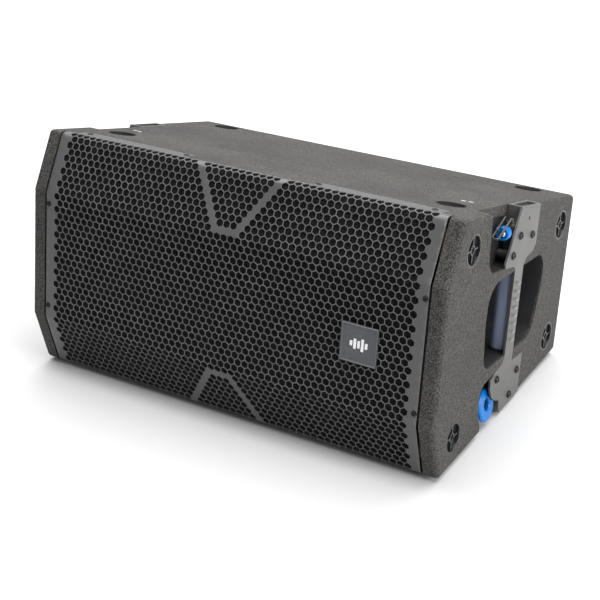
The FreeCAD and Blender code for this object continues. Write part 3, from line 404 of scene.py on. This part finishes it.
# ---------------------------------------------------------------- grille
# One steel sheet, 1.5 mm thick, is punched with hexagonal holes on a triangular pitch, then folded
# along two brows and over the top and bottom edges. Rows of holes left out draw a V above and
# below. It is powder coated, and the punch leaves a small rolled edge round each hole.
PITCH, HOLE = 11.0, 9.5
ROLLED_EDGE = 0.28
ROW = PITCH * math.sqrt(3) / 2
FIRST_ROW = -3.8
ROWS, COLUMNS = range(-24, 26), range(-29, 30)
LAST_ROW_UP, LAST_ROW_DOWN = 20, -19
V_POINT_ROW, V_POINT_HALF, V_ARMS_FROM, V_ARM_HALF = 11, 20, 8, 1
GRILLE_HALF, LAST_HOLE = 304.5, 286.5
TAB_INNER, TAB_OUTER, TAB_REACH, LIP_REACH = 100.0, 290.0, 75.0, 47.5
BROW_STEPS, EDGE_STEPS = 2, 6
CELL_MERGE = 0.05


def reach(depth):
    """Run along the sheet to a depth on its top flange."""
    return edge_end + (depth - FACET_RUN) / math.cos(LEAN) - edge_cut


def left_out(row, x):
    """Holes that are not punched, so that the plain metal draws the two V shapes."""
    step = abs(row)
    if step == V_POINT_ROW:
        return abs(x) < V_POINT_HALF
    return step > V_POINT_ROW and abs(abs(x) - PITCH / 2 * (step - V_ARMS_FROM)) < V_ARM_HALF


def hexagon(bm, pierced):
    """One cell of the sheet, with or without its hole."""
    cell = bmesh.ops.create_circle(bm, cap_ends=True, segments=6, radius=PITCH / math.sqrt(3))
    face = cell["verts"][0].link_faces[0]
    if pierced:
        flat = (PITCH - HOLE) / 2 - ROLLED_EDGE
        for width, rise in ((flat, 0.0), (ROLLED_EDGE, -ROLLED_EDGE)):
            bmesh.ops.inset_individual(bm, faces=[face], thickness=width, depth=rise,
                                       use_even_offset=True)
        bmesh.ops.delete(bm, geom=[face], context="FACES_ONLY")


def stamp(bm, pierced, spots):
    """A copy of one cell at each spot."""
    cell = bmesh.new()
    hexagon(cell, pierced)
    data = bpy.data.meshes.new("cell")
    cell.to_mesh(data)
    cell.free()
    for x, run in spots:
        data.transform(Matrix.Translation((x, run, 0)))
        bm.from_mesh(data)
        data.transform(Matrix.Translation((-x, -run, 0)))
    bpy.data.meshes.remove(data)


def score(bm, point, normal, clear=False):
    """Cuts a mesh along a plane, and clears what lies past it if asked."""
    bmesh.ops.bisect_plane(bm, geom=bm.verts[:] + bm.edges[:] + bm.faces[:], dist=1e-4,
                           plane_co=point, plane_no=normal, clear_outer=clear)


def powder_coat():
    """Dark satin powder coat with a faint orange peel and a paler painted highlight on its edges."""
    material, tree, shader = start_material("grille_powder_coat", Specular_IOR_Level=0.45)
    place = where(tree)
    orange_peel = noise_at(tree, place, 700.0, Detail=2.0)
    haze = noise_at(tree, place, 14.0, Detail=5.0)
    # The paler edges are a painted highlight.
    edge_highlight_mask = use_group(tree, highlight_edge_group, Radius=0.0010, Amount=0.75)["Mask"]
    dark = blend_colours(tree, haze, (0.079, 0.079, 0.081, 1), (0.099, 0.099, 0.102, 1))
    feed(tree, shader.inputs["Base Color"],
         blend_colours(tree, edge_highlight_mask, dark, (0.24, 0.24, 0.245, 1)))
    feed(tree, shader.inputs["Roughness"], drift(tree, haze, 0.38, 0.50))
    bump(tree, shader, orange_peel, 0.0003, 0.35)
    return material


def grille_sheet():
    """The flat sheet is punched, trimmed, scored along its folds, and then folded."""
    tab_end, lip_end = reach(TAB_REACH), reach(LIP_REACH)
    pierced, plain = [], []
    for row in ROWS:
        run = FIRST_ROW + row * ROW
        offset = PITCH / 2 if row % 2 else 0.0
        for column in COLUMNS:
            x = column * PITCH + offset
            punched = LAST_ROW_DOWN <= row <= LAST_ROW_UP and abs(x) <= LAST_HOLE
            (pierced if punched and not left_out(row, x) else plain).append((x, run))
    bm = bmesh.new()
    stamp(bm, True, pierced)
    stamp(bm, False, plain)
    bmesh.ops.remove_doubles(bm, verts=bm.verts, dist=CELL_MERGE)
    for sign in (-1, 1):
        score(bm, (sign * GRILLE_HALF, 0, 0), (sign, 0, 0), clear=True)
        score(bm, (0, sign * tab_end, 0), (0, sign, 0), clear=True)
        for x in (TAB_INNER, TAB_OUTER):
            score(bm, (sign * x, 0, 0), (1, 0, 0))
        bends = [lip_end]
        straight, turn, radius = BROW_FOLD
        bends += [straight + turn * radius * step / BROW_STEPS for step in range(BROW_STEPS + 1)]
        straight, turn, radius = EDGE_FOLD
        bends += [edge_end - turn * radius * step / EDGE_STEPS for step in range(EDGE_STEPS + 1)]
        for run in bends:
            score(bm, (0, sign * run, 0), (0, 1, 0))
    spare = []
    for face in bm.faces:
        middle = face.calc_center_median()
        if abs(middle.y) > lip_end and not TAB_INNER < abs(middle.x) < TAB_OUTER:
            spare.append(face)
    bmesh.ops.delete(bm, geom=spare, context="FACES")
    for vert in bm.verts:
        y, z = fold(vert.co.y, -vert.co.z)
        vert.co = (vert.co.x, y, z)
    piece = finish_piece(bm, "grille_sheet", powder_coat(), "cabinet", sharp=30)
    thicken(piece, SHEET)
    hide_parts("grille")


grille_sheet()


# ---------------------------------------------------------------- grille screws and rails
# Twelve countersunk steel screws, chemically blackened, go through the face and the folded tabs.
# They hold the sheet to two rails that are painted dull black.
black_oxide = surface("black_oxide", dark=(0.012, 0.012, 0.013), light=(0.03, 0.03, 0.032),
                      sheen=(0.28, 0.45), grains=2500.0, Metallic=0.7)
rail_paint = surface("rail_paint", dark=(0.006, 0.006, 0.006), light=(0.012, 0.012, 0.012),
                     sheen=(0.7, 0.85), grains=800.0, Specular_IOR_Level=0.1)
dress("grille_screws", black_oxide)
dress("grille_rails", rail_paint)


# ---------------------------------------------------------------- badge
# A square dark moulding with a raised rim is clipped into the grille's holes. It carries a plain
# mark of five bright plated bars, pressed into its tray.
RIM_MIDDLE, RIM_HALF = (215.0, -2.4, -5.0), 27.05
RIM_STEPS = ((1.1, 1.1), (0.9, 0.0), (1.1, -1.1))
MERGE_DISTANCE, NEARLY_FLAT = 1e-5, math.radians(1)


def softened(node, material, width, sharp=30.0):
    """A copy of a CAD node that stands for it, with its sharp edges rounded over a width in mm."""
    bm = bmesh.new()
    bm.from_mesh(frame["nodes"][node].data)
    bmesh.ops.remove_doubles(bm, verts=bm.verts, dist=MERGE_DISTANCE)
    bmesh.ops.dissolve_limit(bm, angle_limit=NEARLY_FLAT, verts=bm.verts, edges=bm.edges)
    corners = [edge for edge in bm.edges
               if edge.is_manifold and edge.calc_face_angle() > math.radians(sharp)]
    bmesh.ops.bevel(bm, geom=corners, offset=width * MM, offset_type="OFFSET", segments=2,
                    profile=0.5, affect="EDGES", clamp_overlap=True, material=-1)
    piece = finish_piece(bm, node + "_soft", material, body_of[node], sharp,
                         placing=Matrix.Identity(4))
    piece.modifiers.new("even_shading", "WEIGHTED_NORMAL").keep_sharp = True
    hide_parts(node)
    return piece


# The moulding's paler edges are a painted highlight.
badge_dark = surface("badge_moulding", dark=(0.040, 0.043, 0.050), light=(0.060, 0.064, 0.074),
                     sheen=(0.20, 0.30), grains=1800.0, relief=0.00004, highlight_tone=(0.12, 0.12, 0.13),
                     Coat_Weight=0.3)
badge_bright = surface("bright_bars", dark=(0.72, 0.72, 0.74), light=(0.86, 0.86, 0.88),
                       sheen=(0.2, 0.3), grains=2000.0, relief=0.00003, Metallic=0.6)
softened("badge_plate", badge_dark, width=0.8)
softened("badge_emblem", badge_bright, width=0.4)

rim_bm = bmesh.new()
facing_front = Matrix.Rotation(math.radians(90), 4, "X") @ Matrix.Rotation(math.radians(45), 4, "Z")
bmesh.ops.create_circle(rim_bm, cap_ends=True, segments=4, radius=RIM_HALF * math.sqrt(2),
                        matrix=Matrix.Translation(RIM_MIDDLE) @ facing_front)
rim_bm.faces.ensure_lookup_table()
rim_face = rim_bm.faces[0]
if rim_face.normal.y > 0:
    rim_face.normal_flip()
for width, rise in RIM_STEPS:
    bmesh.ops.inset_individual(rim_bm, faces=[rim_face], thickness=width, depth=rise,
                               use_even_offset=True)
bmesh.ops.delete(rim_bm, geom=[rim_face], context="FACES_ONLY")
bmesh.ops.bridge_loops(rim_bm, edges=[edge for edge in rim_bm.edges if edge.is_boundary])
finish_piece(rim_bm, "badge_rim", badge_dark, "cabinet")


# ---------------------------------------------------------------- cups
# Glossy black mouldings sit flush in routed recesses in the sides and the top and are screwed in.
# The cups in the top take the feet of the cabinet above; those in the sides line up stacks on
# their ends.
cup_black = surface("moulded_black", dark=(0.008, 0.008, 0.009), light=(0.014, 0.014, 0.015),
                    sheen=(0.22, 0.34), grains=1400.0, relief=0.00006, Specular_IOR_Level=0.35)
# The top cups take a darker, duller copy of the cup black as painted shade in their deep hollows.
cup_shaded_black = surface("cup_shaded_black", dark=(0.006, 0.006, 0.006), light=(0.012, 0.012, 0.012),
                         sheen=(0.55, 0.7), grains=1400.0, Specular_IOR_Level=0.2)
softened("side_cups", cup_black, width=0.5)
softened("top_cups", cup_shaded_black, width=0.5)
dress("cup_and_foot_screws", black_oxide)


# ---------------------------------------------------------------- white dashes
# Two short white dashes lie behind each front cup, in one thin layer on the coat of the top wall.
DASH_CORNERS = ((261.5, 174.0), (271.0, 176.0), (-286.0, 177.0), (-277.0, 175.5))
DASH_WIDTH, DASH_DEPTH, DASH_LIFT = 6.5, 3.5, 0.06


def top_surface(y):
    """Height of the top wall above the middle line at a depth."""
    return FACET_HALF + FACET_RISE - (y - FACET_RUN) * math.tan(LEAN)


dash_bm = bmesh.new()
for left, front in DASH_CORNERS:
    right, back = left + DASH_WIDTH, front + DASH_DEPTH
    dash_bm.faces.new([dash_bm.verts.new((x, y, top_surface(y) + DASH_LIFT)) for x, y in
                       ((left, front), (right, front), (right, back), (left, back))])
white_dash_tone = surface("white_dash_tone", dark=(0.55, 0.55, 0.54), light=(0.66, 0.66, 0.65),
                      sheen=(0.5, 0.65))
finish_piece(dash_bm, "white_dashes", white_dash_tone, "cabinet")


# ---------------------------------------------------------------- feet
# Four turned rubber rings are screwed up into the bottom wall. They drop into the cups of the
# cabinet below and keep the stack from sliding.
foot_rubber = surface("foot_rubber", dark=(0.012, 0.012, 0.012), light=(0.028, 0.027, 0.026),
                      sheen=(0.7, 0.85), grains=1200.0, relief=0.0002)
softened("feet", foot_rubber, width=0.8)


# ---------------------------------------------------------------- rigging plates and channels
# A laser cut steel plate, 3 mm thick, is bolted over each side wall with folded channels behind its two ends. Both
# have a dark satin coat with a paler painted highlight along the edges.
plate_coat = surface("rigging_coat", dark=(0.100, 0.099, 0.094), light=(0.122, 0.121, 0.115),
                     sheen=(0.36, 0.50), grains=2600.0, relief=0.00012, highlight_tone=(0.30, 0.30, 0.29),
                     Metallic=0.35, Specular_IOR_Level=0.5)
for side in ("left", "right"):
    softened("rigging_plate_" + side, plate_coat, width=0.5)
    softened("rigging_channels_" + side, plate_coat, width=0.5)
softened("rigging_bolts", black_oxide, width=0.35)


# ---------------------------------------------------------------- ribs on the plate necks
# A row of short raised bars runs down the neck of each rigging plate, where a hand passes over it. They are
# pressed up out of the steel, and their coat is paler than the plate's.
RIBS, LOWEST_RIB, RIB_PITCH, RIB_HALF, RIB_ROUNDING = 8, -44, 12, 1.4, 0.3
RIB_FOOT, RIB_CROWN = 332.6, 333.35
RIB_FRONT, RIB_BACK = 236.5, 248.5
SIDES = (("left", -1), ("right", 1))


def block(bm, low, high):
    """Adds a box between two corners, in cabinet millimetres."""
    size = [top - bottom for bottom, top in zip(low, high)]
    middle = [(top + bottom) / 2 for bottom, top in zip(low, high)]
    bmesh.ops.create_cube(bm, size=1.0,
                          matrix=Matrix.Translation(middle) @ Matrix.Diagonal((*size, 1)))


pale_rib_coat = surface("pale_rib_coat", dark=(0.20, 0.20, 0.19), light=(0.26, 0.26, 0.25),
                      sheen=(0.34, 0.46), grains=2600.0, relief=0.0001, Metallic=0.4)
for side, outward in SIDES:
    rib_bm = bmesh.new()
    inner, outer = sorted((outward * RIB_FOOT, outward * RIB_CROWN))
    for rib in range(RIBS):
        z = LOWEST_RIB + RIB_PITCH * rib
        block(rib_bm, (inner, RIB_FRONT, z - RIB_HALF), (outer, RIB_BACK, z + RIB_HALF))
    bmesh.ops.bevel(rib_bm, geom=rib_bm.edges[:], offset=RIB_ROUNDING, offset_type="OFFSET",
                    segments=1, profile=0.5, affect="EDGES", clamp_overlap=True, material=-1)
    finish_piece(rib_bm, "neck_ribs_" + side, pale_rib_coat, "cabinet")


# ---------------------------------------------------------------- handle pockets and grips
# A black moulded liner backs each pair of hand holes, and a smooth blue grey rubber tube is held between its ends.
# A thin dark skin, painted shade, lines the routed edges of the hand holes and of the pin pockets, short of the
# outer face.
SHADE_SKIN_EDGE, SHADE_SKIN_LIFT = 326.5, 0.25
ROUTED_FRONT, ROUTED_BACK, ROUTED_INSIDE, ROUTED_BELOW_TOP = 110, 360, 309, 3
FACES_SIDEWAYS = 0.1
into_cabinet = CABINET.inverted()


def routed(face):
    """Whether a side wall's face is the edge of an opening that is routed through it."""
    middle = face.calc_center_median()
    inside = abs(middle.z) < top_surface(middle.y) - ROUTED_BELOW_TOP
    return (ROUTED_FRONT < middle.y < ROUTED_BACK and inside
            and abs(face.normal.x) <= FACES_SIDEWAYS and abs(middle.x) >= ROUTED_INSIDE)


def shade_skin(side, outward, material):
    """A dark skin just clear of the edges of every opening routed through a side wall, painted shade in the
    openings.
    """
    bm = bmesh.new()
    bm.from_mesh(frame["nodes"]["side_wall_" + side].data)
    bmesh.ops.remove_doubles(bm, verts=bm.verts, dist=MERGE_DISTANCE)
    bmesh.ops.transform(bm, matrix=into_cabinet, verts=bm.verts)
    score(bm, (outward * SHADE_SKIN_EDGE, 0, 0), (outward, 0, 0), clear=True)
    bm.normal_update()
    bmesh.ops.delete(bm, geom=[face for face in bm.faces if not routed(face)], context="FACES")
    bm.normal_update()
    for vert in bm.verts:
        vert.co += vert.normal * SHADE_SKIN_LIFT
    finish_piece(bm, "opening_shade_skin_" + side, material, "cabinet",
                 sharp=30)


liner_and_shade_black = surface("liner_and_shade_moulding", dark=(0.014, 0.014, 0.015), light=(0.024, 0.024, 0.025),
                      sheen=(0.42, 0.6), grains=900.0, relief=0.00025)
grip_rubber = surface("grip_rubber", dark=(0.32, 0.385, 0.56), light=(0.37, 0.44, 0.62),
                      sheen=(0.42, 0.55), grains=1500.0, relief=0.00006)
for side, outward in SIDES:
    # The dark skin in the openings is painted shade.
    shade_skin(side, outward, liner_and_shade_black)
    softened("pocket_liner_" + side, liner_and_shade_black, width=0.8)
    softened("handle_grip_" + side, grip_rubber, width=1.5)


# ---------------------------------------------------------------- link bars
# Flat steel bars, plated with black zinc, stand in the upper channels. They rise into the cabinet
# above, where its lower pins hold them.
# The paler edges of the zinc are a painted highlight.
black_zinc = surface("black_zinc", dark=(0.030, 0.030, 0.032), light=(0.048, 0.048, 0.050),
                     sheen=(0.26, 0.40), grains=900.0, relief=0.00008, highlight_tone=(0.30, 0.30, 0.31),
                     Metallic=0.8)
for side in ("left", "right"):
    softened("link_bar_" + side, black_zinc, width=0.6)


# ---------------------------------------------------------------- detent pins
# Each upper pin is a turned steel shank with a push button in a blue collar and a sprung wire bail,
# sleeved in black plastic, at its head.
WIRE_SLEEVE = 0.5
pin_steel = surface("pin_steel", dark=(0.55, 0.55, 0.56), light=(0.70, 0.70, 0.71),
                    sheen=(0.12, 0.25), grains=1500.0, relief=0.00003, Metallic=1.0)
wire_sleeve = surface("sleeved_wire", dark=(0.020, 0.020, 0.022), light=(0.035, 0.035, 0.037),
                      sheen=(0.2, 0.35), grains=1500.0, relief=0.00003)
# The paler cyan edges of the blue moulding are a painted highlight.
blue_moulding = surface("blue_moulding", dark=(0.0, 0.125, 0.44), light=(0.0, 0.165, 0.54),
                        sheen=(0.25, 0.38), grains=1100.0, relief=0.00006,
                        highlight_tone=(0.04, 0.34, 0.80), Specular_IOR_Level=0.3)
for side in ("left", "right"):
    softened("upper_pin_" + side, pin_steel, width=0.3)
    softened("upper_pin_collar_" + side, blue_moulding, width=0.5)
    softened("upper_pin_button_" + side, pin_steel, width=0.5)
    wire = softened("retaining_wire_" + side, wire_sleeve, width=0.05, sharp=50)
    fatter = wire.modifiers.new("sleeve", "DISPLACE")
    fatter.strength, fatter.mid_level = WIRE_SLEEVE * MM, 0.0


# ---------------------------------------------------------------- pull rings and lower pins
# Each lower pin is a turned steel shank that a spring pushes into the channel. A blue moulded
# finger ring is pinned to its head.
for side in ("left", "right"):
    softened("lower_pin_" + side, pin_steel, width=0.3)
    softened("lower_pin_ring_" + side, blue_moulding, width=1.2)


# ---------------------------------------------------------------- rear panel
# A folded and coated aluminium tray is screwed into the back. It carries a black anodised heat
# sink with fins, moulded sockets, a level knob, a rocker switch and a green lamp.
# The paler edges of the tray coat and of the anodising are a painted highlight.
tray_coat = surface("tray_coat", dark=(0.030, 0.030, 0.032), light=(0.042, 0.042, 0.044),
                    sheen=(0.45, 0.6), grains=1800.0, relief=0.0001, highlight_tone=(0.25, 0.25, 0.26),
                    Metallic=0.2)
anodised = surface("black_anodised", dark=(0.018, 0.018, 0.020), light=(0.032, 0.032, 0.035),
                   sheen=(0.32, 0.48), grains=1600.0, relief=0.00005, highlight_tone=(0.18, 0.18, 0.19),
                   Metallic=0.8)
socket_plastic = surface("socket_plastic", dark=(0.016, 0.016, 0.017), light=(0.028, 0.028, 0.029),
                         sheen=(0.35, 0.5), grains=1500.0)
lamp_green = surface("lamp_lens", dark=(0.02, 0.35, 0.08), light=(0.03, 0.5, 0.12),
                     sheen=(0.1, 0.2), grains=600.0, relief=0.00002, Transmission_Weight=0.3)
softened("amp_tray", tray_coat, width=0.4)
softened("heat_sink", anodised, width=0.3)
softened("rear_sockets", socket_plastic, width=0.3)
softened("level_knob", socket_plastic, width=0.5)
softened("power_switch", cup_black, width=0.4)
dress("indicator_lamp", lamp_green)
dress("amp_screws", black_oxide)


# ---------------------------------------------------------------- parts inside the cabinet
# The woofer, the horn with its three compression drivers, the ports, the electronics and the plain
# plywood boards sit behind the grille and the foam.
def birch_ply():
    """Bare birch plywood with its figure drawn out along the board."""
    material, tree, shader = start_material("birch_ply", Specular_IOR_Level=0.3)
    stretched = put(tree, "Mapping", {}, {"Vector": where(tree), "Scale": (4.0, 60.0, 60.0)})
    figure = noise_at(tree, stretched.outputs[0], 3.0, Detail=6.0)
    feed(tree, shader.inputs["Base Color"],
         blend_colours(tree, figure, (0.42, 0.29, 0.16, 1), (0.62, 0.47, 0.30, 1)))
    feed(tree, shader.inputs["Roughness"], drift(tree, figure, 0.55, 0.75))
    bump(tree, shader, figure, 0.0004, 0.4)
    return material


inner_finishes = {
    "plywood": birch_ply(),
    "cone_paper": surface("coated_paper", dark=(0.014, 0.014, 0.014), light=(0.03, 0.03, 0.03),
                          sheen=(0.6, 0.8), grains=500.0, relief=0.0003),
    "surround_rubber": surface("surround_rubber", dark=(0.010, 0.010, 0.010),
                               light=(0.020, 0.020, 0.020), sheen=(0.5, 0.65), grains=900.0),
    "dark_screw": black_oxide,
    "black_plastic": liner_and_shade_black,
    "magnet": surface("coated_magnet", dark=(0.05, 0.05, 0.055), light=(0.09, 0.09, 0.095),
                      sheen=(0.4, 0.6), grains=700.0, Metallic=0.5),
    "coil_copper": surface("coil_wire", dark=(0.42, 0.16, 0.06), light=(0.60, 0.26, 0.10),
                           sheen=(0.25, 0.4), grains=2500.0, Metallic=1.0),
    "titanium": surface("titanium_foil", dark=(0.45, 0.45, 0.46), light=(0.60, 0.60, 0.62),
                        sheen=(0.2, 0.35), grains=900.0, Metallic=1.0),
    "board_green": surface("circuit_board", dark=(0.01, 0.10, 0.04), light=(0.02, 0.16, 0.07),
                           sheen=(0.35, 0.5), grains=1200.0)}
for node in ("front_baffle", "center_brace", "port_tubes", "woofer_basket", "woofer_magnet",
             "voice_coil", "woofer_cone", "woofer_dust_cap", "woofer_surround", "woofer_spider",
             "horn", "compression_drivers", "hf_diaphragms", "driver_screws", "amp_electronics"):
    dress(node, inner_finishes[slot_of[node]])
